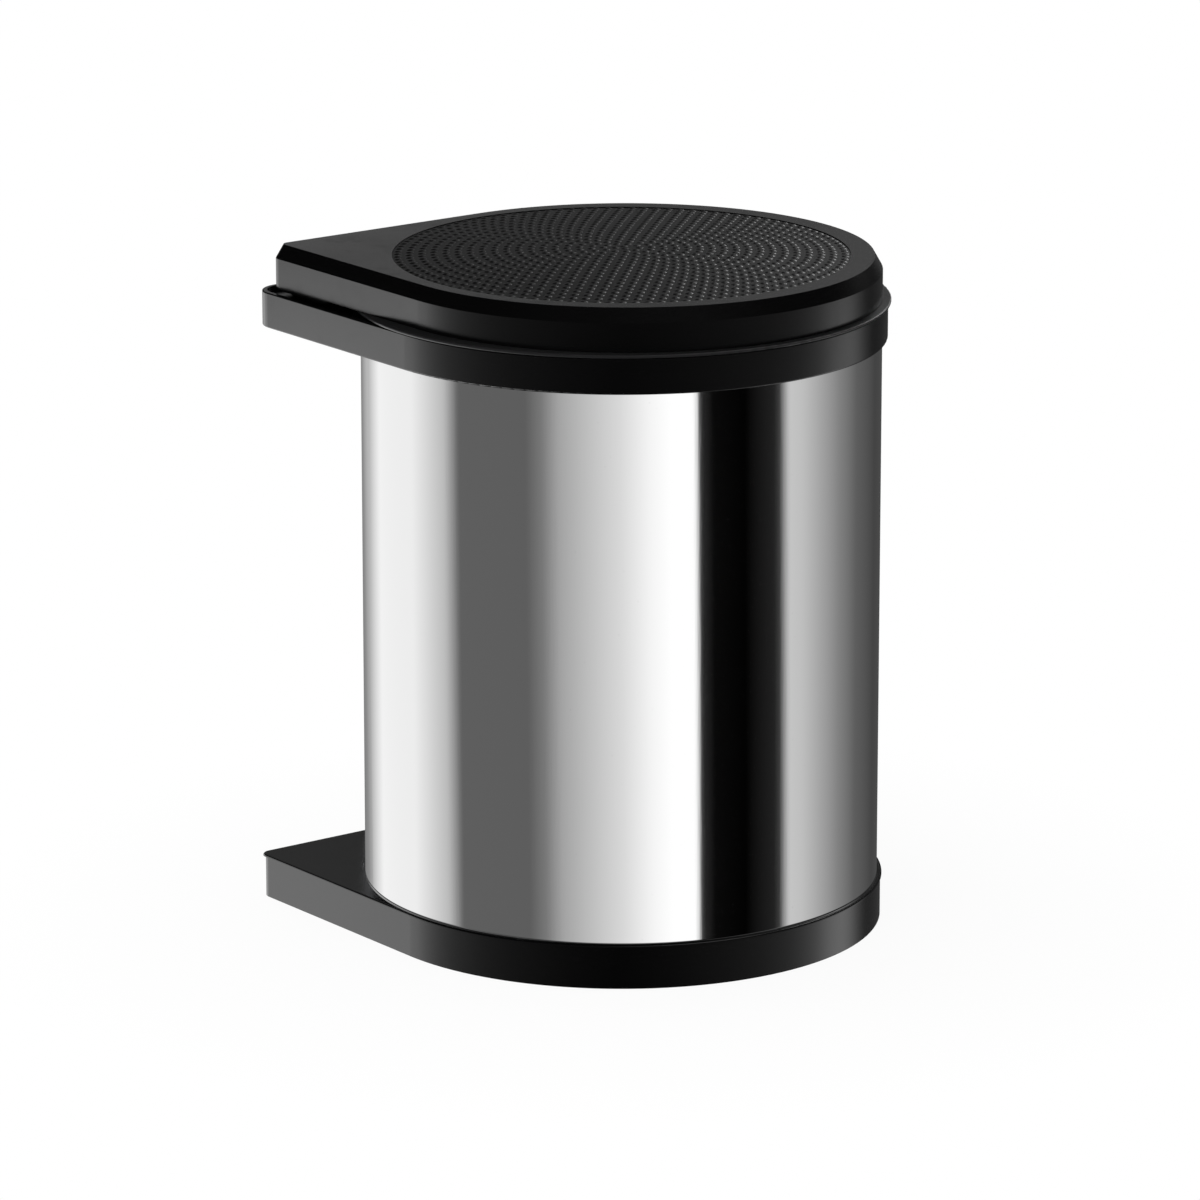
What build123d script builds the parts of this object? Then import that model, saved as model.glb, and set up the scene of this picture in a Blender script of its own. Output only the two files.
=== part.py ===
"""Corner-pivoted swing-out waste bin for a kitchen cabinet.

The rail is screwed to the cabinet's side wall. The bin turns on two pivots in its square
corner, and a helical ramp on its rim lifts the lid, which stays behind in the cabinet.

Frame: the origin is on the wall, at the centre of the four screw holes. +X points away from
the wall, -Y out through the cabinet's door, +Z up. Heights below count from the underside of
the base, in millimetres, and angles are in degrees.
"""
import os
from math import asin, cos, degrees, hypot, radians, sin

from build123d import *

# Heights of the main pieces, stacked from the floor up
base_height = 22.5
jacket_exposed = 280.8
rim_height = 18.2
lid_height = 23.2
mount_height = 172.5

# Plan of the bin: a circle with one square corner
jacket_radius = 131.5
wall_gap = 9.0
rail_setback = 25.0
pivot_inset = 26.0

# Clearances
seat_gap = 0.3
running_gap = 0.05
arm_clearance = 1.1

# Rim frame
rim_wall = 2.5
rim_corner = 15.0
rim_bottom_round = 0.8
rim_top_round = 0.6
deck_thickness = 3.0
trough_depth = 2.5
collar_wall = 1.6
collar_depth = 12.0
rib_thickness = 2.0
rib_depth = 7.0
wall_rib_angle = 180.0
door_rib_angle = 270.0
jacket_rib_angle = 45.0

# Steel jacket
jacket_sheet = 0.8
jacket_flange = 13.0

# Base tray
base_flange_overhang = 0.7
base_lip = 1.2
base_plate = 3.0
base_corner = 6.0
base_skirt_corner = 7.0
base_skirt_proud = 1.8
base_skirt_wall = 2.5
base_edge_round = 1.0
foot_groove_width = 1.3
foot_groove_depth = 1.0
base_rib_depth = 9.0
base_ring_radius = 70.0
base_rib_count = 8

# Bucket and its bail
bucket_wall = 2.0
bucket_floor = 2.5
bucket_mouth_gap = 0.8
bucket_taper = 11.7
bucket_foot_round = 8.0
lip_overhang = 1.6
lip_thickness = 1.5
lip_round = 0.6
ear_width = 12.0
ear_height = 11.0
ear_depth = 6.0
bail_drop = 7.0
bail_margin = 12.7
bail_bend = 4.0
bail_wire_radius = 2.0
grip_radius = 4.5
grip_angle = 44.0

# Lid
lid_inset = 5.3
lid_shift = 1.8
lid_wall = 2.5
lid_corner = 8.0
chamfer_height = 7.1
chamfer_inset = 4.0
field_border = 13.6
field_depth = 0.5
field_crown = 3.5
bump_pitch = 6.06
bump_radius = 2.1
bump_height = 0.55
bump_root = 1.5
middle_bumps = 3
low_skirt_reach = 50.0
lid_rib_depth = 3.0
lid_rib_thickness = 1.5
lid_rib_count = 12
lid_rib_pitch = 36.0

# Pivot and the lid's lift
swing = 90.0
lift = 10.0
tube_radius = 6.0
stem_radius = 4.0
stem_flat = 2.8
stem_head_radius = 7.0
stem_head = 1.5
lid_screw_margin = 1.0
lid_screw_angles = (60.0, 130.0, 200.0)
bush_wall = 2.4
boss_wall = 2.0
washer_thickness = 1.0
washer_radius = 10.5
pin_flange_radius = 9.0
pin_chamfer = 0.75
ramp_width = 6.0
ramp_ring = 2.5
ramp_start_angle = 255.0
ramp_screw_angles = (70.0, 119.0)
foot_span = 50.0
foot_flange = 4.0
foot_flange_bevel = 3.5
run_out = 8.0

# Rail and arms
rail_sheet = 2.0
rail_width = 70.0
rail_lip = 6.0
rail_lip_setback = 30.0
rail_bottom = 1.0
tab_reach = 21.0
tab_width = 36.0
tab_corner = 9.0
arm_thickness = 4.0
arm_hub_radius = 9.0
rivet_spacing = 18.0
rivet_radius = 2.5
rivet_head_radius = 4.5
rivet_head = 2.0

# Wall screw holes
screw_spacing_across = 32.0
screw_spacing_up = 192.0
screw_hole_radius = 2.75

# Small screws
screw_shank = 1.4
screw_head_radius = 2.0
screw_head = 1.6
screw_bite = 6.0
jacket_screw_count = 6
jacket_screw_head_radius = 3.5

# Heights that follow from the stack
base_deck_bottom = base_height - base_plate
rim_bottom = base_height + jacket_exposed
rim_top = rim_bottom + rim_height
deck_top = rim_top - trough_depth
deck_bottom = deck_top - deck_thickness
lip_bottom = rim_top + seat_gap
lip_top = lip_bottom + lip_thickness
lid_bottom = rim_top + seat_gap
lid_top = lid_bottom + lid_height
lid_under = lid_top - lid_wall
chamfer_bottom = lid_top - chamfer_height
upper_arm_bottom = lip_top + arm_clearance
upper_arm_top = upper_arm_bottom + arm_thickness
rail_top = upper_arm_top + rail_sheet
lower_arm_bottom = rail_bottom + rail_sheet
lower_arm_top = lower_arm_bottom + arm_thickness
washer_bottom = lower_arm_top + seat_gap
base_boss_bottom = washer_bottom + washer_thickness
foot_flange_bottom = lid_under - foot_flange
bail_height = rim_top - bail_drop

# Plan values that follow from the jacket
rim_radius = jacket_radius + seat_gap + rim_wall
base_skirt_radius = jacket_radius + base_skirt_proud
base_flange_radius = base_skirt_radius + base_flange_overhang
collar_radius = jacket_radius - jacket_sheet - 2 * seat_gap
mouth_radius = collar_radius - collar_wall
bucket_top_radius = mouth_radius - bucket_mouth_gap
bucket_foot_radius = bucket_top_radius - bucket_taper
lip_radius = rim_radius + lip_overhang
bail_radius = bucket_top_radius - bucket_wall - bail_margin
lid_radius = rim_radius - lid_inset
field_radius = lid_radius - field_border
field_floor = lid_top - field_depth
crown_curve = (field_radius**2 + field_crown**2) / (2 * field_crown)
crown_angle = degrees(asin(field_radius / crown_curve))
bump_curve = (bump_radius**2 + bump_height**2) / (2 * bump_height)
bump_angle = degrees(asin(bump_radius / bump_curve))
lid_rib_rings = [lid_rib_pitch * (step + 1) for step in range(int(field_radius // lid_rib_pitch))]
centre_x = wall_gap + rim_radius
centre_y = rail_setback
pivot_offset = rim_radius - pivot_inset
pivot_x = centre_x - pivot_offset
pivot_y = centre_y - pivot_offset
bush_radius = tube_radius + running_gap + bush_wall
boss_bore = bush_radius + running_gap
boss_radius = boss_bore + boss_wall
ramp_inner = arm_hub_radius + 2 * seat_gap
ramp_outer = ramp_inner + ramp_width
ramp_middle = (ramp_inner + ramp_outer) / 2
ramp_span = foot_span + swing
climb_per_degree = lift / swing
ramp_lead = climb_per_degree * 360
jacket_screw_circle = jacket_radius - jacket_flange / 2 - jacket_sheet
rivet_points = [
    (rail_sheet + tab_reach / 2, -rail_width / 2 + tab_width / 2 + step * rivet_spacing / 2)
    for step in (-1, 1)
]

lid_screw_circle = stem_head_radius + screw_head_radius + lid_screw_margin


def on_circle(radius, angles):
    """Points on a circle round the origin."""
    return [(radius * cos(radians(angle)), radius * sin(radians(angle))) for angle in angles]


ramp_screw_points = on_circle(ramp_middle, ramp_screw_angles)
lid_screw_points = on_circle(lid_screw_circle, lid_screw_angles)


def bin_plane(height, shift=0.0):
    """Level plane at a height, centred on the bin's circle, or shifted from it in X and Y."""
    return Plane(origin=(centre_x + shift, centre_y + shift, height - mount_height))


def pivot_plane(height, angle=0.0):
    """Level plane at a height, centred on the pivot, with its X axis turned by an angle."""
    return Plane(
        origin=(pivot_x, pivot_y, height - mount_height),
        x_dir=(cos(radians(angle)), sin(radians(angle)), 0),
        z_dir=(0, 0, 1),
    )


def wall_plane(height):
    """Level plane at a height, centred on the screw pattern."""
    return Plane(origin=(0, 0, height - mount_height))


def section_plane():
    """Upright plane through the bin's axis, with radius along X and height along Y."""
    return Plane(origin=(centre_x, centre_y, -mount_height), x_dir=(1, 0, 0), z_dir=(0, -1, 0))


bin_axis = Axis((centre_x, centre_y, 0), (0, 0, 1))


def teardrop(radius, corner=0.0, mode=Mode.ADD):
    """Circle whose wall side and door side run straight on to one square corner."""
    with BuildSketch(mode=Mode.PRIVATE) as outline:
        with BuildLine():
            CenterArc((0, 0), radius, -90, 270)
            Polyline((-radius, 0), (-radius, -radius), (0, -radius))
        make_face()
        if corner:
            fillet(outline.vertices().group_by(Axis.X)[0].sort_by(Axis.Y)[0], corner)
    add(outline.sketch, mode=mode)


def crowned_disc(bottom, edge, mode):
    """Disc on the bin's axis with a flat underside and a gently crowned top, applied to the active part."""
    with BuildSketch(section_plane()) as section:
        with BuildLine():
            Polyline((0, edge + field_crown), (0, bottom), (field_radius, bottom), (field_radius, edge))
            CenterArc((0, edge + field_crown - crown_curve), crown_curve, 90 - crown_angle, crown_angle)
        make_face()
    revolve(section.sketch, axis=bin_axis, mode=mode)


def ring(outer, inner):
    """Flat ring."""
    Circle(outer)
    Circle(inner, mode=Mode.SUBTRACT)


def d_profile(radius, flat):
    """Circle with one flat."""
    Circle(radius)
    with Locations((flat, 0)):
        Rectangle(radius, 2 * radius, align=(Align.MIN, Align.CENTER), mode=Mode.SUBTRACT)


def ring_sector(outer, inner, span):
    """Part of a ring, from the X axis anticlockwise."""
    with BuildLine() as outline:
        CenterArc((0, 0), outer, 0, span)
        CenterArc((0, 0), inner, 0, span)
        Line((inner, 0), (outer, 0))
        Line(
            (inner * cos(radians(span)), inner * sin(radians(span))),
            (outer * cos(radians(span)), outer * sin(radians(span))),
        )
    make_face(outline.edges())


def cut_to_climb(start_angle, start_height, span, depth):
    """Cut the active part along the ramp's helicoid, above it, or below it for a negative depth."""
    low = pivot_plane(start_height - run_out * climb_per_degree, start_angle - run_out)
    climb_height = (span + 2 * run_out) * climb_per_degree
    climb = Edge.make_helix(ramp_lead, climb_height, ramp_middle).moved(low.location)
    radial = Plane(origin=climb @ 0, x_dir=low.x_dir, z_dir=-low.y_dir)
    side = Align.MIN if depth > 0 else Align.MAX
    with BuildSketch(radial) as blade:
        Rectangle(2 * ramp_width, abs(depth), align=(Align.CENTER, side))
    sweep(blade.sketch, path=climb, is_frenet=True, mode=Mode.SUBTRACT)


def small_screws(plane_head, points, bite):
    """Pan-head screws whose heads lie under the plane and whose shanks point up."""
    with BuildSketch(plane_head) as heads:
        with Locations(*points):
            Circle(screw_head_radius)
    extrude(heads.sketch, amount=-screw_head)
    with BuildSketch(plane_head) as shanks:
        with Locations(*points):
            Circle(screw_shank)
    extrude(shanks.sketch, amount=bite)


# Fixed to the cabinet's wall

with BuildPart() as wall_rail:
    with BuildSketch(wall_plane(rail_bottom)):
        Rectangle(rail_sheet, rail_width, align=(Align.MIN, Align.CENTER))
    extrude(amount=rail_top - rail_bottom)
    with BuildSketch(wall_plane(rail_bottom + rail_lip_setback)):
        with Locations((0, -rail_width / 2)):
            Rectangle(rail_lip, rail_sheet, align=(Align.MIN, Align.MIN))
        with Locations((0, rail_width / 2)):
            Rectangle(rail_lip, rail_sheet, align=(Align.MIN, Align.MAX))
    extrude(amount=rail_top - rail_bottom - 2 * rail_lip_setback)
    for tab_bottom in (rail_bottom, rail_top - rail_sheet):
        with BuildSketch(wall_plane(tab_bottom)):
            with Locations((0, -rail_width / 2)):
                Rectangle(rail_sheet + tab_reach, tab_width, align=(Align.MIN, Align.MIN))
        extrude(amount=rail_sheet)
    tab_ends = wall_rail.edges().filter_by(Axis.Z).group_by(Axis.X)[-1]
    fillet(tab_ends, tab_corner)
    with BuildSketch(Plane.YZ):
        with GridLocations(screw_spacing_across, screw_spacing_up, 2, 2):
            Circle(screw_hole_radius)
    extrude(amount=rail_sheet, mode=Mode.SUBTRACT)
    for tab_bottom in (rail_bottom, rail_top - rail_sheet):
        with BuildSketch(wall_plane(tab_bottom)):
            with Locations(*rivet_points):
                Circle(rivet_radius + running_gap)
        extrude(amount=rail_sheet, mode=Mode.SUBTRACT)
wall_rail.part.label = "wall_rail"


def arm(bottom):
    """Flat steel arm from the rivets to the hub, with its holes."""
    with BuildSketch(wall_plane(bottom)) as plate:
        with Locations((pivot_x, pivot_y), *rivet_points):
            Circle(arm_hub_radius)
        make_hull(plate.edges())
        with Locations((pivot_x, pivot_y)):
            Circle(tube_radius + running_gap, mode=Mode.SUBTRACT)
        with Locations(*rivet_points):
            Circle(rivet_radius + running_gap, mode=Mode.SUBTRACT)
    extrude(plate.sketch, amount=arm_thickness)


with BuildPart() as upper_arm:
    arm(upper_arm_bottom)
upper_arm.part.label = "upper_arm"

with BuildPart() as lower_arm:
    arm(lower_arm_bottom)
lower_arm.part.label = "lower_arm"

with BuildPart() as arm_rivets:
    for joint_bottom in (rail_bottom, upper_arm_bottom):
        with BuildSketch(wall_plane(joint_bottom)):
            with Locations(*rivet_points):
                Circle(rivet_radius)
        extrude(amount=arm_thickness + rail_sheet)
        with BuildSketch(wall_plane(joint_bottom + arm_thickness + rail_sheet)):
            with Locations(*rivet_points):
                Circle(rivet_head_radius)
        extrude(amount=rivet_head)
    domes = arm_rivets.edges().filter_by(GeomType.CIRCLE).filter_by(
        lambda edge: abs(edge.radius - rivet_head_radius) < running_gap
    )
    fillet([edge for edge in domes.group_by(Axis.Z)[1] + domes.group_by(Axis.Z)[-1]], rivet_head / 2)
arm_rivets.part.label = "arm_rivets"

with BuildPart() as upper_pivot_tube:
    with BuildSketch(pivot_plane(rim_bottom + seat_gap)):
        Circle(tube_radius)
    extrude(amount=foot_flange_bottom - seat_gap - rim_bottom - seat_gap)
    with BuildSketch(pivot_plane(rim_bottom + seat_gap)):
        d_profile(stem_radius + running_gap, stem_flat + running_gap)
    extrude(amount=foot_flange_bottom - seat_gap - rim_bottom - seat_gap, mode=Mode.SUBTRACT)
upper_pivot_tube.part.label = "upper_pivot_tube"

with BuildPart() as lower_pivot_pin:
    with BuildSketch(pivot_plane(rail_bottom)):
        Circle(pin_flange_radius)
    extrude(amount=rail_sheet)
    with BuildSketch(pivot_plane(lower_arm_bottom)):
        Circle(tube_radius)
    extrude(amount=base_deck_bottom - running_gap - seat_gap - lower_arm_bottom)
    chamfer(lower_pivot_pin.edges().group_by(Axis.Z)[-1], pin_chamfer)
lower_pivot_pin.part.label = "lower_pivot_pin"

# Swinging bin

with BuildPart() as rim_frame:
    with BuildSketch(bin_plane(rim_bottom)):
        teardrop(rim_radius, rim_corner)
    extrude(amount=rim_height)
    fillet(rim_frame.edges().group_by(Axis.Z)[0], rim_bottom_round)
    fillet(rim_frame.edges().group_by(Axis.Z)[-1], rim_top_round)
    with BuildSketch(bin_plane(rim_bottom)):
        teardrop(rim_radius - rim_wall, rim_corner - rim_wall)
    extrude(amount=deck_bottom - rim_bottom, mode=Mode.SUBTRACT)
    with BuildSketch(bin_plane(deck_top)):
        teardrop(rim_radius - rim_wall, rim_corner - rim_wall)
    extrude(amount=trough_depth, mode=Mode.SUBTRACT)
    with BuildSketch(bin_plane(deck_top)):
        Circle(collar_radius)
    extrude(amount=trough_depth)
    with BuildSketch(bin_plane(deck_bottom)):
        Circle(collar_radius)
    extrude(amount=-collar_depth)
    with BuildSketch(pivot_plane(rim_bottom + seat_gap)):
        Circle(boss_radius)
    extrude(amount=deck_bottom - rim_bottom - seat_gap)
    rib_to_jacket = hypot(pivot_offset, pivot_offset) - jacket_radius - seat_gap
    with BuildSketch(pivot_plane(deck_bottom)):
        for rib_angle in (wall_rib_angle, door_rib_angle):
            Rectangle(
                pivot_inset - rim_wall / 2, rib_thickness, rib_angle, align=(Align.MIN, Align.CENTER)
            )
        Rectangle(rib_to_jacket, rib_thickness, jacket_rib_angle, align=(Align.MIN, Align.CENTER))
    extrude(amount=-rib_depth)
    with BuildSketch(bin_plane(rim_bottom)):
        Circle(mouth_radius)
    extrude(amount=rim_height, mode=Mode.SUBTRACT)
    with BuildSketch(pivot_plane(rim_bottom)):
        Circle(boss_bore)
    extrude(amount=rim_height, mode=Mode.SUBTRACT)
    with BuildSketch(pivot_plane(deck_bottom, ramp_start_angle)):
        with Locations(*ramp_screw_points):
            Circle(screw_shank + running_gap)
    extrude(amount=deck_thickness, mode=Mode.SUBTRACT)
rim_frame.part.label = "rim_frame"

with BuildPart() as steel_jacket:
    with BuildSketch(section_plane()):
        with BuildLine():
            Polyline(
                (jacket_radius - jacket_flange, base_height),
                (jacket_radius, base_height),
                (jacket_radius, deck_bottom - seat_gap),
                (jacket_radius - jacket_sheet, deck_bottom - seat_gap),
                (jacket_radius - jacket_sheet, base_height + jacket_sheet),
                (jacket_radius - jacket_flange, base_height + jacket_sheet),
                close=True,
            )
        make_face()
    revolve(axis=bin_axis)
    with BuildSketch(bin_plane(base_height)):
        with PolarLocations(jacket_screw_circle, jacket_screw_count):
            Circle(screw_shank + running_gap)
    extrude(amount=jacket_sheet, mode=Mode.SUBTRACT)
steel_jacket.part.label = "steel_jacket"

with BuildPart() as base_tray:
    with BuildSketch(bin_plane(base_height - base_lip)):
        teardrop(base_flange_radius, base_corner)
    extrude(amount=base_lip)
    fillet(base_tray.edges().group_by(Axis.Z)[-1], base_edge_round)
    with BuildSketch(bin_plane(base_deck_bottom)):
        teardrop(base_skirt_radius, base_skirt_corner)
    extrude(amount=base_plate - base_lip)
    with BuildSketch(bin_plane(base_height)):
        ring(jacket_radius + foot_groove_width, jacket_radius)
    extrude(amount=-foot_groove_depth, mode=Mode.SUBTRACT)
    with BuildSketch(bin_plane(0)):
        teardrop(base_skirt_radius, base_skirt_corner)
        teardrop(base_skirt_radius - base_skirt_wall, base_skirt_corner - base_skirt_wall, Mode.SUBTRACT)
        with Locations((-base_skirt_radius, -base_skirt_radius + base_skirt_wall)):
            Rectangle(
                base_skirt_radius / 2,
                base_skirt_radius - base_skirt_wall,
                align=(Align.MIN, Align.MIN),
                mode=Mode.SUBTRACT,
            )
    extrude(amount=base_deck_bottom)
    with BuildSketch(bin_plane(base_deck_bottom)):
        ring(base_ring_radius + rib_thickness, base_ring_radius)
        with PolarLocations(base_ring_radius + rib_thickness / 2, base_rib_count):
            Rectangle(
                base_skirt_radius - base_skirt_wall - base_ring_radius,
                rib_thickness,
                align=(Align.MIN, Align.CENTER),
            )
    extrude(amount=-base_rib_depth)
    with BuildSketch(pivot_plane(base_boss_bottom)):
        Circle(boss_radius)
    extrude(amount=base_deck_bottom - base_boss_bottom)
    with BuildSketch(pivot_plane(base_boss_bottom)):
        Circle(boss_bore)
    extrude(amount=base_deck_bottom - base_boss_bottom, mode=Mode.SUBTRACT)
    with BuildSketch(bin_plane(base_height)):
        with PolarLocations(jacket_screw_circle, jacket_screw_count):
            Circle(screw_shank + running_gap)
    extrude(amount=-base_plate, mode=Mode.SUBTRACT)
base_tray.part.label = "base_tray"

with BuildPart() as upper_bush:
    with BuildSketch(pivot_plane(rim_bottom + seat_gap)):
        ring(bush_radius, tube_radius + running_gap)
    extrude(amount=deck_top - rim_bottom - seat_gap)
upper_bush.part.label = "upper_bush"

with BuildPart() as lower_bush:
    with BuildSketch(pivot_plane(base_boss_bottom)):
        ring(bush_radius, tube_radius + running_gap)
    extrude(amount=base_deck_bottom - base_boss_bottom)
lower_bush.part.label = "lower_bush"

with BuildPart() as thrust_washer:
    with BuildSketch(pivot_plane(washer_bottom)):
        ring(washer_radius, tube_radius + running_gap)
    extrude(amount=washer_thickness)
thrust_washer.part.label = "thrust_washer"

ramp_low = deck_top + ramp_ring + seat_gap
ramp_high = ramp_low + ramp_span * climb_per_degree

with BuildPart() as lift_ramp:
    with BuildSketch(pivot_plane(deck_top, ramp_start_angle)):
        ring_sector(ramp_outer, ramp_inner, ramp_span)
    extrude(amount=ramp_high - deck_top)
    cut_to_climb(ramp_start_angle, ramp_low, ramp_span, ramp_high)
    with BuildSketch(pivot_plane(deck_top)):
        ring(ramp_outer, ramp_inner)
    extrude(amount=ramp_ring)
    with BuildSketch(pivot_plane(deck_top, ramp_start_angle)):
        with Locations(*ramp_screw_points):
            Circle(screw_shank)
    extrude(amount=screw_bite, mode=Mode.SUBTRACT)
lift_ramp.part.label = "lift_ramp"

with BuildPart() as ramp_screws:
    small_screws(pivot_plane(deck_bottom, ramp_start_angle), ramp_screw_points, deck_thickness + screw_bite)
ramp_screws.part.label = "ramp_screws"

with BuildPart() as jacket_screws:
    with BuildSketch(bin_plane(base_height + jacket_sheet)):
        with PolarLocations(jacket_screw_circle, jacket_screw_count):
            Circle(jacket_screw_head_radius)
    extrude(amount=screw_head)
    with BuildSketch(bin_plane(base_height + jacket_sheet)):
        with PolarLocations(jacket_screw_circle, jacket_screw_count):
            Circle(screw_shank)
    extrude(amount=-jacket_sheet - base_plate)
jacket_screws.part.label = "jacket_screws"

bucket_foot = base_height + seat_gap

with BuildPart() as bucket:
    with BuildSketch(section_plane()):
        with BuildLine():
            Polyline(
                (0, bucket_foot),
                (bucket_foot_radius, bucket_foot),
                (bucket_top_radius, lip_bottom),
                (lip_radius, lip_bottom),
                (lip_radius, lip_top),
                (bucket_top_radius - bucket_wall, lip_top),
                (bucket_foot_radius - bucket_wall, bucket_foot + bucket_floor),
                (0, bucket_foot + bucket_floor),
                close=True,
            )
        make_face()
    revolve(axis=bin_axis)
    foot_edges = bucket.edges().filter_by(GeomType.CIRCLE)
    fillet(foot_edges.group_by(Axis.Z)[0], bucket_foot_round)
    inner_foot = bucket.edges().filter_by(GeomType.CIRCLE).filter_by(
        lambda edge: abs(edge.radius - bucket_foot_radius + bucket_wall) < running_gap
    )
    fillet(inner_foot, bucket_foot_round - bucket_wall)
    lip_edges = bucket.edges().filter_by(GeomType.CIRCLE).filter_by(
        lambda edge: abs(edge.radius - lip_radius) < running_gap
    )
    fillet(lip_edges, lip_round)
    ear_inner = bucket_top_radius - bucket_wall - ear_depth
    with BuildSketch(bin_plane(bail_height - ear_height / 2)):
        for side in (-1, 1):
            with Locations((0, side * (ear_inner + (ear_depth + bucket_wall) / 2))):
                Rectangle(ear_width, ear_depth + bucket_wall / 2)
    extrude(amount=ear_height)
    with BuildSketch(Plane(origin=(centre_x, centre_y, bail_height - mount_height), z_dir=(0, 1, 0))):
        Circle(bail_wire_radius + seat_gap)
    extrude(amount=bucket_top_radius - bucket_wall, both=True, mode=Mode.SUBTRACT)
bucket.part.label = "bucket"

bail_end = bucket_top_radius - bucket_wall - seat_gap

with BuildPart() as bucket_handle:
    with BuildLine(bin_plane(bail_height)) as bail:
        Line((0, bail_end), (0, bail_radius + bail_bend))
        CenterArc((-bail_bend, bail_radius + bail_bend), bail_bend, 0, -90)
        CenterArc((-bail_bend, 0), bail_radius, 90, 180)
        CenterArc((-bail_bend, -bail_radius - bail_bend), bail_bend, 90, -90)
        Line((0, -bail_radius - bail_bend), (0, -bail_end))
    with BuildSketch(Plane(origin=bail.line @ 0, z_dir=bail.line % 0)):
        Circle(bail_wire_radius)
    sweep(path=bail.line)
bucket_handle.part.label = "bucket_handle"

with BuildPart() as handle_grip:
    with BuildLine(bin_plane(bail_height)) as hold:
        CenterArc((-bail_bend, 0), bail_radius, 180 - grip_angle / 2, grip_angle)
    with BuildSketch(Plane(origin=hold.line @ 0, z_dir=hold.line % 0)):
        ring(grip_radius, bail_wire_radius + running_gap)
    sweep(path=hold.line)
handle_grip.part.label = "handle_grip"

# Lid

with BuildPart() as lid_ribs:
    with BuildSketch(bin_plane(lid_under - lid_rib_depth)):
        for rib_ring in lid_rib_rings:
            ring(rib_ring + lid_rib_thickness, rib_ring)
        with PolarLocations(lid_rib_rings[0], lid_rib_count):
            Rectangle(
                lid_rib_rings[-1] - lid_rib_rings[0], lid_rib_thickness, align=(Align.MIN, Align.CENTER)
            )
    extrude(amount=lid_rib_depth + field_crown + lid_wall)
    crowned_disc(lid_under - lid_rib_depth, (lid_under + field_floor) / 2, Mode.INTERSECT)

with BuildPart() as lid_cover:
    with BuildSketch(bin_plane(lid_bottom, lid_shift)):
        teardrop(lid_radius, lid_corner)
    extrude(amount=chamfer_bottom - lid_bottom)
    with BuildSketch(bin_plane(chamfer_bottom, lid_shift)):
        teardrop(lid_radius, lid_corner)
    with BuildSketch(bin_plane(lid_top, lid_shift)):
        teardrop(lid_radius - chamfer_inset, lid_corner - chamfer_inset)
    loft(ruled=True)
    inner_inset = chamfer_inset * (lid_under - chamfer_bottom) / chamfer_height
    with BuildSketch(bin_plane(lid_bottom, lid_shift)):
        teardrop(lid_radius - lid_wall, lid_corner - lid_wall)
    extrude(amount=chamfer_bottom - lid_bottom, mode=Mode.SUBTRACT)
    with BuildSketch(bin_plane(chamfer_bottom, lid_shift)):
        teardrop(lid_radius - lid_wall, lid_corner - lid_wall)
    with BuildSketch(bin_plane(lid_under, lid_shift)):
        teardrop(lid_radius - lid_wall - inner_inset, lid_corner - lid_wall - inner_inset)
    loft(ruled=True, mode=Mode.SUBTRACT)
    with BuildSketch(bin_plane(lid_top)):
        Circle(field_radius)
    extrude(amount=-field_depth, mode=Mode.SUBTRACT)
    crowned_disc(lid_under, field_floor, Mode.ADD)
    crowned_disc(lid_under - lid_rib_depth, lid_under, Mode.SUBTRACT)
    with Locations(bin_plane(field_floor + field_crown + bump_height).location):
        with PolarLocations(bump_pitch / 2, middle_bumps):
            Sphere(
                bump_curve,
                arc_size1=90 - bump_root * bump_angle,
                arc_size2=90,
                align=(Align.CENTER, Align.CENTER, Align.MAX),
            )
    with BuildSketch(bin_plane(lid_bottom, lid_shift)):
        teardrop(lid_radius + seat_gap)
        with Locations((-lid_radius - seat_gap, -lid_radius - seat_gap)):
            Rectangle(
                low_skirt_reach, low_skirt_reach, align=(Align.MIN, Align.MIN), mode=Mode.SUBTRACT
            )
    extrude(amount=lip_top + seat_gap - lid_bottom, mode=Mode.SUBTRACT)
    add(lid_ribs.part)
    arm_side = centre_x + lid_shift - lid_radius
    with BuildSketch(wall_plane(lid_bottom)):
        with Locations((arm_side - seat_gap, -rail_width / 2 - tab_width)):
            Rectangle(lid_wall + 2 * seat_gap, 2 * tab_width + seat_gap, align=(Align.MIN, Align.MIN))
    extrude(amount=rail_top + rivet_head + seat_gap - lid_bottom, mode=Mode.SUBTRACT)
    with BuildSketch(pivot_plane(lid_under)):
        with Locations(*lid_screw_points):
            Circle(screw_shank)
    extrude(amount=lid_wall / 2, mode=Mode.SUBTRACT)
lid_cover.part.label = "lid_cover"

with BuildPart() as lid_stem:
    with BuildSketch(pivot_plane(rim_bottom + 2 * seat_gap)):
        d_profile(stem_radius, stem_flat)
    extrude(amount=lid_under - stem_head - rim_bottom - 2 * seat_gap)
    with BuildSketch(pivot_plane(lid_under - stem_head)):
        Circle(stem_head_radius)
    extrude(amount=stem_head)
lid_stem.part.label = "lid_stem"

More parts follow.
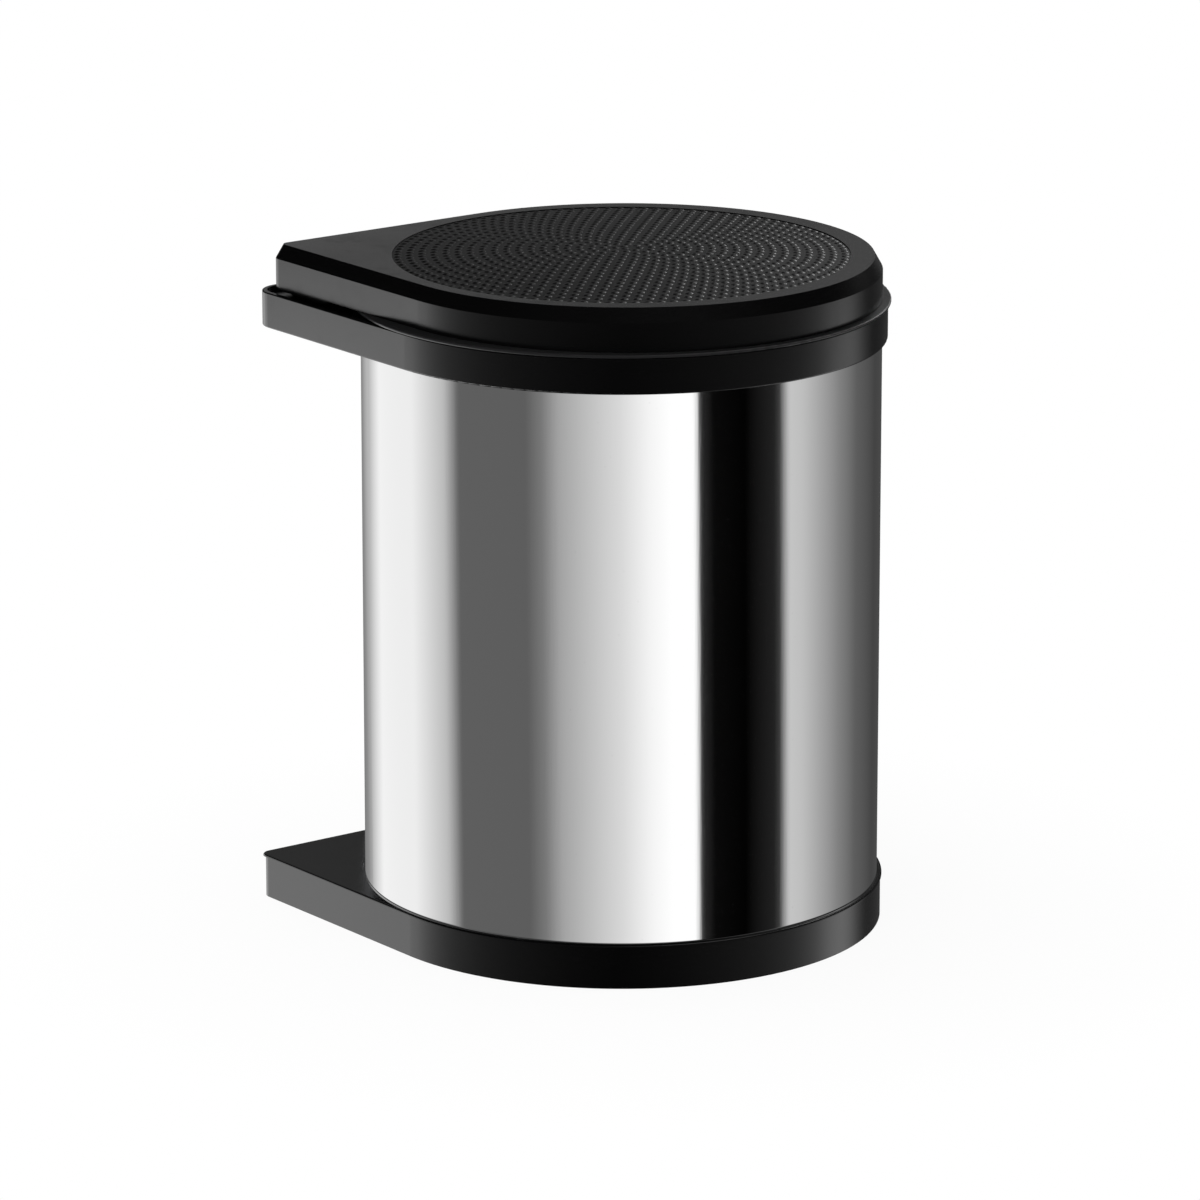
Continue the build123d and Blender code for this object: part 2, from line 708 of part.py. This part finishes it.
with BuildPart() as lift_foot:
    with BuildSketch(pivot_plane(ramp_low, ramp_start_angle)):
        ring_sector(ramp_outer, ramp_inner, foot_span)
    extrude(amount=foot_flange_bottom - ramp_low)
    cut_to_climb(ramp_start_angle, ramp_low + seat_gap, foot_span, -ramp_high)
    with BuildSketch(pivot_plane(foot_flange_bottom)):
        ring(ramp_outer, stem_radius + running_gap)
    extrude(amount=foot_flange)
    chamfer(lift_foot.edges().group_by(Axis.Z)[-1].sort_by(SortBy.RADIUS)[-1], foot_flange_bevel)
    with BuildSketch(pivot_plane(lid_under)):
        Circle(stem_head_radius + running_gap)
    extrude(amount=-stem_head, mode=Mode.SUBTRACT)
    with BuildSketch(pivot_plane(foot_flange_bottom)):
        with Locations(*lid_screw_points):
            Circle(screw_shank + running_gap)
    extrude(amount=foot_flange, mode=Mode.SUBTRACT)
lift_foot.part.label = "lift_foot"

with BuildPart() as lid_screws:
    small_screws(pivot_plane(foot_flange_bottom), lid_screw_points, foot_flange + lid_wall / 2)
lid_screws.part.label = "lid_screws"

os.makedirs("parts", exist_ok=True)
for piece in (
    wall_rail,
    upper_arm,
    lower_arm,
    arm_rivets,
    upper_pivot_tube,
    lower_pivot_pin,
    rim_frame,
    steel_jacket,
    base_tray,
    upper_bush,
    lower_bush,
    thrust_washer,
    lift_ramp,
    ramp_screws,
    jacket_screws,
    bucket,
    bucket_handle,
    handle_grip,
    lid_cover,
    lid_stem,
    lift_foot,
    lid_screws,
):
    export_step(piece.part, f"parts/{piece.part.label}.step")
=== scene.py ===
"""Looks of the corner-pivoted swing-out waste bin: finishes, the lid's bumps and a plain studio.

Lengths are in metres, in the frame of the CAD model.
"""
from math import cos, pi, radians, sin

import bmesh
import bpy
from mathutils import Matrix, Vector

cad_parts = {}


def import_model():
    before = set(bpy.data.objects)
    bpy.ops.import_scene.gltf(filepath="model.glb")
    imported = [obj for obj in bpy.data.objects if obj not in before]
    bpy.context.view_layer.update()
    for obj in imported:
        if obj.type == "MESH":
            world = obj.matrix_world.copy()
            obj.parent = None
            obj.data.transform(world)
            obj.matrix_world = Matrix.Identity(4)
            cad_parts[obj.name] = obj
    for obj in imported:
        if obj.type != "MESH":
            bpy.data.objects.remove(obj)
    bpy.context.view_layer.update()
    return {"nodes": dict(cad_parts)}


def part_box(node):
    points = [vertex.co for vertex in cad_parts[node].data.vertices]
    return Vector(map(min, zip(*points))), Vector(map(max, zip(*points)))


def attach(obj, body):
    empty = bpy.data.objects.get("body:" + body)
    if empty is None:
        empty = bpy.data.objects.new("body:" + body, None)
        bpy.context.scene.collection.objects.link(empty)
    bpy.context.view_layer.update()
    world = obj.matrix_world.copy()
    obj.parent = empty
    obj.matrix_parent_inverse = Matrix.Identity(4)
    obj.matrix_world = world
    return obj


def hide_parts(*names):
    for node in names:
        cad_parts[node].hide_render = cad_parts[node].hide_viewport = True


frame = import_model()
nodes = frame["nodes"]

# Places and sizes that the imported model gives
jacket_low, jacket_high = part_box("steel_jacket")
lid_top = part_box("lid_cover")[1].z
floor_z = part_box("base_tray")[0].z
bin_x = (jacket_low.x + jacket_high.x) / 2
bin_y = (jacket_low.y + jacket_high.y) / 2
jacket_radius = (jacket_high.x - jacket_low.x) / 2

# Steel jacket: sheet thickness, the bend at its foot and the flange under it
jacket_sheet = 0.0008
jacket_bend = 0.0008
jacket_flange = 0.013
jacket_turns = 512

# The lid's crowned field and its rings of bumps
field_radius = 0.1154
field_depth = 0.0005
field_crown = 0.0035
bump_pitch = 0.00608
bump_radius = 0.0021
bump_height = 0.00055
bump_rings = 19
bump_turn = radians(14.5)
first_ring_places = 4
field_floor = lid_top - bump_height - field_crown

# One bump: the ball it is cut from, and its rise and sunk foot as shares of its height
ball_segments = 14
ball_rings = 19
bump_rise = 0.98
bump_foot = 0.8

# Colours
deep_black = (0.002, 0.002, 0.0021)
bucket_black = (0.016, 0.016, 0.0167)
grip_black = (0.018, 0.018, 0.019)
acetal_white = (0.80, 0.80, 0.78)
steel_grey = (0.66, 0.66, 0.66)
speck_grey = (0.5, 0.5, 0.5)
zinc_dark = (0.38, 0.387, 0.4)
zinc_light = (0.55, 0.558, 0.575)
floor_grey = (0.9, 0.9, 0.9)

# Camera: its direction, the point it looks at, and its lens and sensor in millimetres
camera_azimuth = radians(52.99)
camera_rise = radians(14.91)
camera_distance = 3.581
camera_target = Vector((0.1433, 0.025, -0.0064))
framing_right = 0.0108
framing_up = 0.00144
lens_length = 210.9
sensor_width = 36.0

# Drums of cards round the bin: radius, and the heights of both ends above the floor
plastic_drum = (0.79, -0.60, 1.30)
steel_drum = (0.81, -0.62, 1.32)
drum_turns = 180

# Floor and world: the soft shadow's two distances from the bin's axis, and levels of light
floor_reach = 6.0
shadow_near = 0.16
shadow_far = 0.34
shadow_whiteness = 0.93
matt_level = 0.6


class Value:
    """A value in a node tree. Arithmetic on it adds Math nodes."""

    def __init__(self, tree, socket):
        self.tree, self.socket = tree, socket

    def math(self, operation, *others):
        sockets = dict(enumerate((self,) + others))
        return self.tree.node("ShaderNodeMath", {"operation": operation}, sockets)

    def flipped(self, operation, first):
        return self.tree.node("ShaderNodeMath", {"operation": operation}, {0: first, 1: self})

    def __add__(self, other): return self.math("ADD", other)
    def __sub__(self, other): return self.math("SUBTRACT", other)
    def __mul__(self, other): return self.math("MULTIPLY", other)
    def __truediv__(self, other): return self.math("DIVIDE", other)
    def __radd__(self, other): return self.flipped("ADD", other)
    def __rsub__(self, other): return self.flipped("SUBTRACT", other)
    def __rmul__(self, other): return self.flipped("MULTIPLY", other)
    def __rtruediv__(self, other): return self.flipped("DIVIDE", other)
    def __gt__(self, other): return self.math("GREATER_THAN", other)
    def __lt__(self, other): return self.math("LESS_THAN", other)


class Tree:
    """A node tree with one method that adds any node."""

    def __init__(self, tree):
        self.tree = tree
        self.tree.nodes.clear()

    def node(self, kind, settings=None, inputs=None, out=0):
        """A node with its settings, and values or links for its inputs. Gives one output."""
        made = self.tree.nodes.new(kind)
        for name, value in (settings or {}).items():
            if name == "stops":
                ramp = made.color_ramp
                while len(ramp.elements) < len(value):
                    ramp.elements.new(0.5)
                for element, (place, level) in zip(ramp.elements, value):
                    element.position = place
                    element.color = (level, level, level, 1.0)
            else:
                setattr(made, name, value)
        for name, value in (inputs or {}).items():
            if isinstance(value, Value):
                self.tree.links.new(value.socket, made.inputs[name])
            else:
                made.inputs[name].default_value = value
        return Value(self, made.outputs[out]) if made.outputs else made

    def of(self, value, out):
        """Another output of the node that a value comes from."""
        return Value(self, value.socket.node.outputs[out])


def finish_material(name):
    """A new material and its empty tree."""
    made = bpy.data.materials.new(name)
    made.use_nodes = True
    return made, Tree(made.node_tree)


def close_material(tree, surface):
    tree.node("ShaderNodeOutputMaterial", None, {"Surface": surface})


def object_place(tree):
    return tree.node("ShaderNodeTexCoord", None, None, "Object")


def three_axes(tree, vector):
    apart = tree.node("ShaderNodeSeparateXYZ", None, {"Vector": vector})
    return [tree.of(apart, axis) for axis in "XYZ"]


def offset_from(tree, place, point):
    return tree.node("ShaderNodeVectorMath", {"operation": "SUBTRACT"}, {0: place, 1: point})


def noise(tree, place, scale, detail, roughness=0.5):
    return tree.node(
        "ShaderNodeTexNoise",
        None,
        {"Vector": place, "Scale": scale, "Detail": detail, "Roughness": roughness},
    )


def mixed_colour(tree, share, first, second):
    """Colour between two others. Sockets 0, 6 and 7 are the share and the two colours."""
    return tree.node(
        "ShaderNodeMix",
        {"data_type": "RGBA"},
        {0: share, 6: first + (1.0,), 7: second + (1.0,)},
        2,
    )


def bump(tree, height, strength, distance):
    return tree.node(
        "ShaderNodeBump", None, {"Strength": strength, "Distance": distance, "Height": height}
    )


def crowned_field(tree, place):
    """1 on the lid's crowned round field, 0 on its border and underside."""
    across, along, up = three_axes(tree, offset_from(tree, place, (bin_x, bin_y, field_floor)))
    share = (across * across + along * along) / field_radius**2
    return (share < 1.0) * (up > field_crown * (1 - share) - field_depth)


def moulded_plastic(name, colour, rough, grain, scuffs=0.0, matt_field=0.0):
    """Moulded plastic: a fine spark-eroded grain, uneven sheen and faint handling marks."""
    made, tree = finish_material(name)
    place = object_place(tree)
    fine = noise(tree, place, 2600.0, 2.0)
    patch = noise(tree, place, 14.0, 4.0, 0.6)
    marks = noise(tree, place, 90.0, 6.0)
    sheen = (patch - 0.5) * 0.10 + (fine - 0.5) * 0.06 + (marks > 0.62) * scuffs + rough
    if matt_field:
        sheen = sheen + crowned_field(tree, place) * (matt_field - rough)
    shaded = tuple(level * 0.82 for level in colour)
    surface = tree.node(
        "ShaderNodeBsdfPrincipled",
        None,
        {
            "Base Color": mixed_colour(tree, patch, shaded, colour),
            "Roughness": sheen,
            "IOR": 1.45,
            "Normal": bump(tree, fine, grain, 0.0002),
        },
    )
    close_material(tree, surface)
    return made


def polished_sheet(name):
    """Bright polished stainless sheet: a faint vertical polish, small specks and finger haze."""
    made, tree = finish_material(name)
    place = object_place(tree)
    upright = tree.node("ShaderNodeMapping", None, {"Vector": place, "Scale": (1.0, 1.0, 0.04)})
    polish = noise(tree, upright, 900.0, 2.0)
    haze = noise(tree, place, 9.0, 5.0)
    specks = tree.node("ShaderNodeTexVoronoi", None, {"Vector": place, "Scale": 160.0}) < 0.03
    surface = tree.node(
        "ShaderNodeBsdfPrincipled",
        None,
        {
            "Base Color": mixed_colour(tree, specks, steel_grey, speck_grey),
            "Metallic": 1.0,
            "Roughness": (haze - 0.5) * 0.05 + (polish - 0.5) * 0.02 + specks * 0.12 + 0.055,
            "Normal": bump(tree, polish, 0.012, 0.0004),
        },
    )
    close_material(tree, surface)
    return made


def zinc_plate(name):
    """Zinc-plated steel: a soft spangle and dull patches."""
    made, tree = finish_material(name)
    place = object_place(tree)
    cells = tree.node("ShaderNodeTexVoronoi", None, {"Vector": place, "Scale": 260.0}, "Color")
    spangle = tree.node("ShaderNodeRGBToBW", None, {"Color": cells})
    dull = noise(tree, place, 40.0, 4.0)
    surface = tree.node(
        "ShaderNodeBsdfPrincipled",
        None,
        {
            "Base Color": mixed_colour(tree, spangle * 0.5 + dull * 0.5, zinc_dark, zinc_light),
            "Metallic": 1.0,
            "Roughness": dull * 0.16 + spangle * 0.08 + 0.36,
            "Normal": bump(tree, dull, 0.03, 0.0003),
        },
    )
    close_material(tree, surface)
    return made


black_plastic = moulded_plastic("black_plastic", deep_black, rough=0.20, grain=0.05, scuffs=0.02)
lid_plastic = moulded_plastic(
    "lid_plastic", deep_black, rough=0.22, grain=0.06, scuffs=0.02, matt_field=0.43
)
bump_plastic = moulded_plastic("bump_plastic", deep_black, rough=0.30, grain=0.02)
bucket_plastic = moulded_plastic(
    "bucket_plastic", bucket_black, rough=0.36, grain=0.08, scuffs=0.03
)
white_acetal = moulded_plastic("white_acetal", acetal_white, rough=0.42, grain=0.03)
grip_plastic = moulded_plastic("grip_plastic", grip_black, rough=0.5, grain=0.12)
polished_steel = polished_sheet("polished_steel")
zinc_steel = zinc_plate("zinc_steel")

node_finish = {
    black_plastic: ["rim_frame", "base_tray", "lift_ramp", "lift_foot"],
    lid_plastic: ["lid_cover"],
    bucket_plastic: ["bucket"],
    grip_plastic: ["handle_grip"],
    white_acetal: ["upper_bush", "lower_bush", "thrust_washer"],
    polished_steel: ["steel_jacket", "bucket_handle", "lid_stem"],
    zinc_steel: [
        "wall_rail", "upper_arm", "lower_arm", "arm_rivets", "upper_pivot_tube",
        "lower_pivot_pin", "ramp_screws", "jacket_screws", "lid_screws",
    ],
}
for material, names in node_finish.items():
    for name in names:
        nodes[name].data.materials.clear()
        nodes[name].data.materials.append(material)


def add_piece(name, mesh, body):
    """An object for a finished mesh, riding on a body."""
    made = bpy.data.objects.new(name, mesh)
    bpy.context.scene.collection.objects.link(made)
    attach(made, body)
    return made


def lathe(name, profile, turns, material):
    """Closed mesh from a closed profile of (radius, height) turned round the bin's axis."""
    mesh = bpy.data.meshes.new(name)
    rows, faces, points = len(profile), [], []
    for step in range(turns):
        angle = 2 * pi * step / turns
        here, after = step * rows, (step + 1) % turns * rows
        for radius, height in profile:
            points.append((bin_x + radius * cos(angle), bin_y + radius * sin(angle), height))
        for row in range(rows):
            above = (row + 1) % rows
            faces.append((here + row, after + row, after + above, here + above))
    mesh.from_pydata(points, [], faces)
    mesh.update()
    work = bmesh.new()
    work.from_mesh(mesh)
    bmesh.ops.recalc_face_normals(work, faces=work.faces)
    for face in work.faces:
        face.smooth = True
    for edge in work.edges:
        edge.smooth = edge.calc_face_angle(0) < radians(30)
    work.to_mesh(mesh)
    work.free()
    mesh.materials.append(material)
    return mesh


def jacket_mesh():
    """Rolled jacket with a small bend at its foot and its inward flange."""
    outer, foot, top = jacket_radius, jacket_low.z, jacket_high.z
    inner, flange_edge = outer - jacket_sheet, outer - jacket_flange
    bend = [
        (
            outer - jacket_bend + jacket_bend * sin(radians(angle)),
            foot + jacket_bend - jacket_bend * cos(radians(angle)),
        )
        for angle in range(0, 91, 15)
    ]
    inside = [(inner, top), (inner, foot + jacket_sheet), (flange_edge, foot + jacket_sheet)]
    profile = [(flange_edge, foot)] + bend + [(outer, top)] + inside
    return lathe("steel_jacket_sheet", profile, jacket_turns, polished_steel)


jacket = add_piece("steel_jacket_sheet", jacket_mesh(), "bin")
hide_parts("steel_jacket")

# Reflections show the studio's cards, without the jacket and the pieces round the base's corner
corner_pieces = ["base_tray", "lower_arm", "lower_pivot_pin", "lower_bush", "thrust_washer"]
for piece in [jacket] + [nodes[name] for name in corner_pieces]:
    piece.visible_glossy = False


def bump_tree():
    """Rings of small domes on the crowned field: six more on each ring than on the one inside it.

    Ring n has 6n - 2 places, so the rings inside it have (n - 1)(3n - 2) in all. The ring of a
    place comes from the square root of that, with a little off so that no last place rounds up.
    """
    group = bpy.data.node_groups.new("rings_of_bumps", "GeometryNodeTree")
    sizes = ("Pitch", "Radius", "Height", "Turn", "Field Radius", "Crown")
    sockets = {"Count": "NodeSocketInt"}
    sockets.update({name: "NodeSocketFloat" for name in sizes})
    sockets["Finish"] = "NodeSocketMaterial"
    for name, kind in sockets.items():
        group.interface.new_socket(name, in_out="INPUT", socket_type=kind)
    group.interface.new_socket("Geometry", in_out="OUTPUT", socket_type="NodeSocketGeometry")
    tree = Tree(group)
    given = tree.node("NodeGroupInput")
    count, pitch, radius, height, turn, reach, crown, finish = (
        tree.of(given, name) for name in sockets
    )
    place = tree.node("GeometryNodeInputIndex") + first_ring_places
    ring = (((12 * place + 13).math("SQRT") - 1.001) / 6).math("CEIL")
    step = place - (ring - 1) * (3 * ring - 2)
    angle = turn + step * (2 * pi) / (6 * ring - 2)
    away = (ring - 0.5) * pitch
    share = away / reach
    spot = tree.node(
        "ShaderNodeCombineXYZ",
        None,
        {
            "X": angle.math("COSINE") * away,
            "Y": angle.math("SINE") * away,
            "Z": crown * (1 - share * share),
        },
    )
    points = tree.node("GeometryNodePoints", None, {"Count": count, "Position": spot})
    curve = (radius * radius + height * height) / (2 * height)
    ball = tree.node(
        "GeometryNodeMeshUVSphere",
        None,
        {"Segments": ball_segments, "Rings": ball_rings, "Radius": curve},
    )
    level = three_axes(tree, tree.node("GeometryNodeInputPosition"))[2]
    dome = tree.node(
        "GeometryNodeDeleteGeometry",
        {"domain": "POINT"},
        {"Geometry": ball, "Selection": level < curve - (1 + bump_foot) * height},
    )
    sink = tree.node("ShaderNodeCombineXYZ", None, {"Z": bump_rise * height - curve})
    seated = tree.node("GeometryNodeTransform", None, {"Geometry": dome, "Translation": sink})
    spread = tree.node(
        "GeometryNodeInstanceOnPoints", None, {"Points": points, "Instance": seated}
    )
    solid = tree.node("GeometryNodeRealizeInstances", None, {"Geometry": spread})
    smooth = tree.node("GeometryNodeSetShadeSmooth", None, {"Geometry": solid})
    done = tree.node("GeometryNodeSetMaterial", None, {"Geometry": smooth, "Material": finish})
    tree.node("NodeGroupOutput", None, {"Geometry": done})
    return group


def grown(name, group, settings):
    """Plain mesh of a Geometry Nodes tree, with its named inputs set."""
    holder = bpy.data.objects.new(name, bpy.data.meshes.new(name))
    bpy.context.scene.collection.objects.link(holder)
    modifier = holder.modifiers.new(name, "NODES")
    modifier.node_group = group
    for socket in group.interface.items_tree:
        if socket.in_out == "INPUT":
            modifier[socket.identifier] = settings[socket.name]
    evaluated = holder.evaluated_get(bpy.context.evaluated_depsgraph_get())
    mesh = bpy.data.meshes.new_from_object(evaluated)
    bpy.data.objects.remove(holder)
    return mesh


# The innermost ring is moulded on the lid, so these start at the second one
bumps_mesh = grown("lid_bumps", bump_tree(), {
    "Count": bump_rings * (3 * bump_rings + 1) - first_ring_places,
    "Pitch": bump_pitch,
    "Radius": bump_radius,
    "Height": bump_height,
    "Turn": bump_turn,
    "Field Radius": field_radius,
    "Crown": field_crown,
    "Finish": bump_plastic,
})
for vertex in bumps_mesh.vertices:
    vertex.co += Vector((bin_x, bin_y, field_floor))
add_piece("lid_bumps", bumps_mesh, "lid")


def stage_object(name, mesh, material):
    """A studio object that isn't part of the bin."""
    made = bpy.data.objects.new(name, mesh)
    bpy.context.scene.collection.objects.link(made)
    mesh.materials.append(material)
    return made


def ramp_level(tree, value, reach, levels):
    """Level of light from (value, level) pairs, with values from 0 to reach."""
    top = max(level for place, level in levels)
    stops = [(place / reach, level / top) for place, level in levels]
    ramp = tree.node("ShaderNodeValToRGB", {"stops": stops}, {"Fac": value / reach})
    return tree.node("ShaderNodeRGBToBW", None, {"Color": ramp}) * top


def ring_level(tree, turn, levels):
    """Level of light round the bin from (angle from the camera's side, level) pairs."""
    return ramp_level(tree, turn, 1.0, [((angle + 180) / 360, level) for angle, level in levels])


def between(tree, value, low, high, first=0.0, last=1.0):
    """Value that goes from first to last as another goes from low to high."""
    return tree.node(
        "ShaderNodeMapRange",
        None,
        {"Value": value, "From Min": low, "From Max": high, "To Min": first, "To Max": last},
    )


def card_tree(name, lean=0.0, spread=0.0):
    """A card material's tree, with the direction round the bin and the place above the floor.

    The cards may lean and spread with height, in radians and as a share for each metre.
    """
    made, tree = finish_material(name)
    made.cycles.emission_sampling = "NONE"
    across, along, up = three_axes(tree, object_place(tree))
    height = up - floor_z
    facing = camera_azimuth - pi / 2
    turn = ((along - bin_y).math("ARCTAN2", across - bin_x) - facing) / (2 * pi) + 0.5
    if lean:
        turn = (turn - 0.5) * (1 + height * spread) + height * (lean / (2 * pi)) + 0.5
    turn = turn.math("FRACT")
    right = (across - bin_x) * cos(camera_azimuth) + (along - bin_y) * sin(camera_azimuth)
    return made, tree, turn, height, right


def steel_card_material():
    """Upright bright, grey and black cards, for the polished sheet."""
    made, tree, turn, height, _ = card_tree("steel_cards", lean=radians(4.5), spread=0.055)
    level = ring_level(tree, turn, [
        (-180, 0.1), (-155, 0.31), (-141, 0.65), (-127, 1.27), (-99, 1.27), (-91, 1.07),
        (-79, 0.75), (-71, 0.17), (-39, 0.165), (-32, 0.285), (-25, 0.55), (0, 1.04),
        (12, 1.38), (20, 1.52), (30.3, 1.52), (32.4, 0.03), (38, 0.004), (52, 0.001),
        (66, 0.022), (69, 0.07), (74, 0.84), (81, 0.78), (92, 0.56), (105, 0.33),
        (120, 0.16), (143, 0.075), (180, 0.08),
    ])
    level = level * between(tree, height, -0.5, -0.3, 0.2, 1.0)
    close_material(tree, tree.node("ShaderNodeEmission", None, {"Color": level}))
    return made


def plastic_card_material():
    """Side cards, a dim wall and an overhead light, for all but the polished sheet."""
    made, tree, turn, height, right = card_tree("plastic_cards")
    sides = ring_level(tree, turn, [
        (-180, 0.08), (-150, 0.12), (-128, 2.15), (-98, 2.15), (-89, 1.25), (-81, 0.75),
        (-73, 0.48), (-58, 0.25), (-44, 0.14), (-22, 0.05), (0, 0.01), (22, 0.05),
        (44, 0.12), (59, 0.2), (74, 0.36), (81, 0.54), (89, 0.8), (97, 1.4),
        (107, 1.4), (112, 1.0), (120, 0.3), (128, 0.06), (180, 0.08),
    ])
    # The right-hand side is brighter towards the floor
    downward = between(tree, height, -0.19, 0.19, 1.0, -1.0)
    sides = sides * between(
        tree, right.math("MAXIMUM", 0.0) * downward, -0.75, 0.75, 0.75, 1.25
    )
    # A band on the wall, which the lid's flat border mirrors
    wall = ring_level(tree, turn, [
        (-180, 1.05), (-168, 1.5), (-150, 1.5), (-125, 0.0), (-60, 0.0), (-35, 0.8),
        (50, 0.8), (70, 0.4), (125, 0.4), (150, 1.0), (180, 1.05),
    ])
    band = ramp_level(tree, height, plastic_drum[2], [
        (0.2, 0.1), (0.3, 0.1), (0.36, 0.05), (0.43, 0.05), (0.49, 0.25), (0.525, 0.25),
        (0.57, 0.11), (0.62, 0.03),
    ])
    above_band = ring_level(tree, turn, [
        (-180, 0.03), (-172, 0.0), (-150, 0.0), (125, 0.0), (150, 0.33), (172, 0.22),
        (180, 0.03),
    ])
    back = wall * band + above_band * between(tree, height, 0.56, 0.62)
    # A raised card behind on the right, which lights the bumps on that side
    raised = ring_level(tree, turn, [
        (-180, 0.0), (134, 0.0), (140, 4.6), (156, 4.6), (160, 0.0), (180, 0.0),
    ])
    raised = raised * between(tree, height, 0.66, 0.72)
    raised = raised * between(tree, height, 0.95, 1.02, 1.0, 0.0)
    # A light overhead, brighter to the right
    roof = (height > plastic_drum[2] - 0.01) * between(tree, right, -0.1, 0.6, 0.0, 1.6)
    low = between(tree, height, 0.165, 0.3, 1.0, 0.0)
    level = sides * low + back * (1 - low) + raised + roof
    light = tree.node("ShaderNodeEmission", None, {"Color": level})
    clear = tree.node("ShaderNodeBsdfTransparent")
    close_material(tree, tree.node("ShaderNodeAddShader", None, {0: light, 1: clear}))
    return made


def cards(name, drum, material, state):
    """Tall drum of cards, which lights the jacket's reflections alone or all but those."""
    radius, low, high = drum
    mesh = bpy.data.meshes.new(name)
    work = bmesh.new()
    angles = [2 * pi * step / drum_turns for step in range(drum_turns)]
    bottom, top = (
        [
            work.verts.new((bin_x + radius * cos(a), bin_y + radius * sin(a), floor_z + height))
            for a in angles
        ]
        for height in (low, high)
    )
    for step in range(drum_turns):
        after = (step + 1) % drum_turns
        work.faces.new((bottom[after], bottom[step], top[step], top[after]))
    work.faces.new(top[::-1])
    work.faces.new(bottom)
    work.to_mesh(mesh)
    work.free()
    made = stage_object(name, mesh, material)
    made.visible_camera = made.visible_diffuse = False
    made.visible_shadow = made.visible_transmission = False
    receivers = bpy.data.collections.new(name + "_pieces")
    receivers.objects.link(jacket)
    for link in receivers.collection_objects:
        link.light_linking.link_state = state
    made.light_linking.receiver_collection = receivers


def seen_rays(tree):
    """1 for rays from the camera, in reflections and through clear pieces."""
    path = tree.node("ShaderNodeLightPath", None, None, "Is Camera Ray")
    mirrored = path.math("MAXIMUM", tree.of(path, "Is Glossy Ray"))
    return mirrored.math("MAXIMUM", tree.of(path, "Is Transmission Ray"))


def floor_material():
    """Pale floor that keeps a soft shadow near the bin and runs out to white."""
    made, tree = finish_material("pale_floor")
    offset = offset_from(tree, object_place(tree), (bin_x, bin_y, floor_z))
    away = tree.node("ShaderNodeVectorMath", {"operation": "LENGTH"}, {0: offset}, "Value")
    fade = between(tree, away, shadow_near, shadow_far, shadow_whiteness, 1.0)
    whiteness = fade * seen_rays(tree)
    matt = tree.node("ShaderNodeBsdfDiffuse", None, {"Color": floor_grey + (1.0,)})
    white = tree.node("ShaderNodeEmission", None, {"Strength": 1.0})
    mix = tree.node("ShaderNodeMixShader", None, {0: whiteness, 1: matt, 2: white})
    close_material(tree, mix)
    return made


def floor():
    mesh = bpy.data.meshes.new("pale_floor")
    corners = ((-1, -1), (1, -1), (1, 1), (-1, 1))
    points = [(bin_x + x * floor_reach, bin_y + y * floor_reach, floor_z) for x, y in corners]
    mesh.from_pydata(points, [], [(0, 1, 2, 3)])
    made = stage_object("pale_floor", mesh, floor_material())
    made.visible_glossy = False


def world():
    """White to the camera and in reflections, and a plain even level on matt surfaces."""
    made = bpy.data.worlds.new("studio")
    bpy.context.scene.world = made
    made.use_nodes = True
    tree = Tree(made.node_tree)
    strength = seen_rays(tree) * (1 - matt_level) + matt_level
    white = {"Color": (1.0, 1.0, 1.0, 1.0), "Strength": strength}
    light = tree.node("ShaderNodeBackground", None, white)
    tree.node("ShaderNodeOutputWorld", None, {"Surface": light})


def lamp(name, place, size, power):
    """Large soft lamp aimed at the bin, for matt light only."""
    data = bpy.data.lights.new(name, "AREA")
    data.size, data.energy = size, power
    made = bpy.data.objects.new(name, data)
    bpy.context.scene.collection.objects.link(made)
    made.location = place
    aim = Vector((bin_x, bin_y, 0)) - Vector(place)
    made.rotation_euler = aim.to_track_quat("-Z", "Y").to_euler()
    made.visible_glossy = False


def camera():
    """Long lens at the photograph's viewing angle."""
    level = cos(camera_rise)
    back = Vector((sin(camera_azimuth) * level, -cos(camera_azimuth) * level, sin(camera_rise)))
    right = Vector((cos(camera_azimuth), sin(camera_azimuth), 0))
    up = back.cross(right)
    data = bpy.data.cameras.new("camera")
    data.lens, data.sensor_width = lens_length, sensor_width
    data.clip_end = 50.0
    made = bpy.data.objects.new("camera", data)
    bpy.context.scene.collection.objects.link(made)
    made.location = camera_target + back * camera_distance - right * framing_right - up * framing_up
    made.rotation_euler = (-back).to_track_quat("-Z", "Y").to_euler()
    bpy.context.scene.camera = made


cards("plastic_cards", plastic_drum, plastic_card_material(), "EXCLUDE")
cards("steel_cards", steel_drum, steel_card_material(), "INCLUDE")
floor()
world()
lamp("soft_key", place=(1.6, -1.6, 1.9), size=1.5, power=22.0)
lamp("soft_fill", place=(-1.6, -1.2, 1.4), size=1.5, power=12.0)
camera()
bpy.context.scene.view_settings.view_transform = "Standard"
